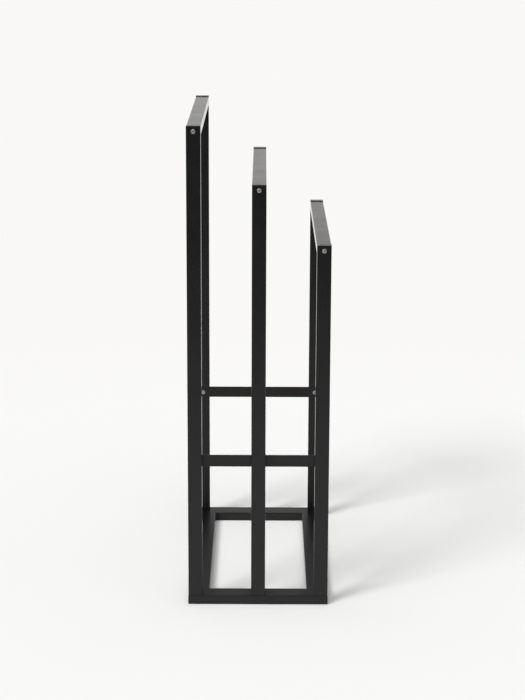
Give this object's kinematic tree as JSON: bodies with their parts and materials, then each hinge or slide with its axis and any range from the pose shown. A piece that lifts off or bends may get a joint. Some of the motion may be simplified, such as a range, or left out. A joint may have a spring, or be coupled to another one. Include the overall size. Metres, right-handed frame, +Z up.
{
  "type": "firewood log rack",
  "caption": "Open firewood rack: stepped upside-down U hoops of black rectangular tube, tied by flat crossbars, stand on a flat base frame; logs lie across the hoops.",
  "frame": {"origin": "middle of the footprint, on the floor", "axes": "+Z up; X across the hoops, the way the logs lie, with the tall hoop at -X and the short one at +X; Y along the span of each hoop, with the front row of uprights at -Y"},
  "size_m": [0.3, 0.6032, 1.03],
  "materials": {
    "powder_coat": "satin black powder coat",
    "cap_plastic": "fine-grained black moulding",
    "bright_screw": "bright zinc",
    "plug_steel": "bare steel"
  },
  "bodies": {
    "root": {"base_rail_back": "powder_coat", "base_rail_front": "powder_coat", "base_rail_left": "powder_coat", "base_rail_right": "powder_coat", "crossbar_back": "powder_coat", "crossbar_front": "powder_coat", "crossbar_screws_back": "bright_screw", "crossbar_screws_front": "bright_screw", "foot_screws": "bright_screw", "middle_access_plug_back": "cap_plastic", "middle_access_plug_front": "cap_plastic", "middle_cap_back": "cap_plastic", "middle_cap_front": "cap_plastic", "middle_foot_plug_back": "plug_steel", "middle_foot_plug_front": "plug_steel", "middle_top_bar": "powder_coat", "middle_top_bar_plug_back": "plug_steel", "middle_top_bar_plug_front": "plug_steel", "middle_top_screws": "bright_screw", "middle_upright_back": "powder_coat", "middle_upright_front": "powder_coat", "short_access_plug_back": "cap_plastic", "short_access_plug_front": "cap_plastic", "short_cap_back": "cap_plastic", "short_cap_front": "cap_plastic", "short_foot_plug_back": "plug_steel", "short_foot_plug_front": "plug_steel", "short_top_bar": "powder_coat", "short_top_bar_plug_back": "plug_steel", "short_top_bar_plug_front": "plug_steel", "short_top_screws": "bright_screw", "short_upright_back": "powder_coat", "short_upright_front": "powder_coat", "tall_access_plug_back": "cap_plastic", "tall_access_plug_front": "cap_plastic", "tall_cap_back": "cap_plastic", "tall_cap_front": "cap_plastic", "tall_foot_plug_back": "plug_steel", "tall_foot_plug_front": "plug_steel", "tall_top_bar": "powder_coat", "tall_top_bar_plug_back": "plug_steel", "tall_top_bar_plug_front": "plug_steel", "tall_top_screws": "bright_screw", "tall_upright_back": "powder_coat", "tall_upright_front": "powder_coat"}
  },
  "joints": []
}
